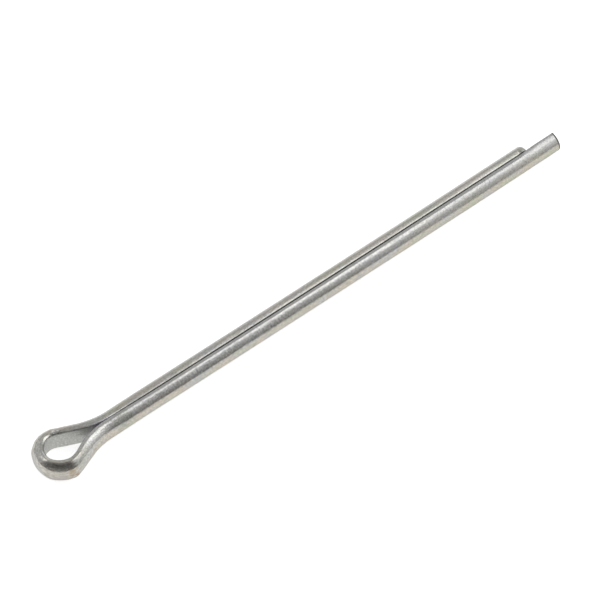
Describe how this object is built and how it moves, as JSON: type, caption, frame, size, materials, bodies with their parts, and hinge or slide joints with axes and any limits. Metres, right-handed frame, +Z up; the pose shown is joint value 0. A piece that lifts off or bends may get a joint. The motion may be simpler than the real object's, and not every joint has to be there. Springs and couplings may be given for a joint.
{
  "type": "cotter pin",
  "caption": "Straight cotter pin of half-round wire, with a teardrop eye and closed legs, one leg longer than the other; it locks a nut or a clevis pin.",
  "frame": {"origin": "on the axis of the closed shank, at the mouth of the eye, midway through the wire's thickness", "axes": "+X along the shank, from the eye towards the leg ends; +Z up, square to the plane that the wire is bent in; the long leg is on the -Y side"},
  "size_m": [0.0746, 0.0064, 0.0028],
  "materials": {
    "zinc_wire": "bright zinc plating on drawn steel wire, faintly tinted, with fine draw marks and small pits"
  },
  "bodies": {
    "root": {"cotter_pin": "zinc_wire"}
  },
  "joints": []
}
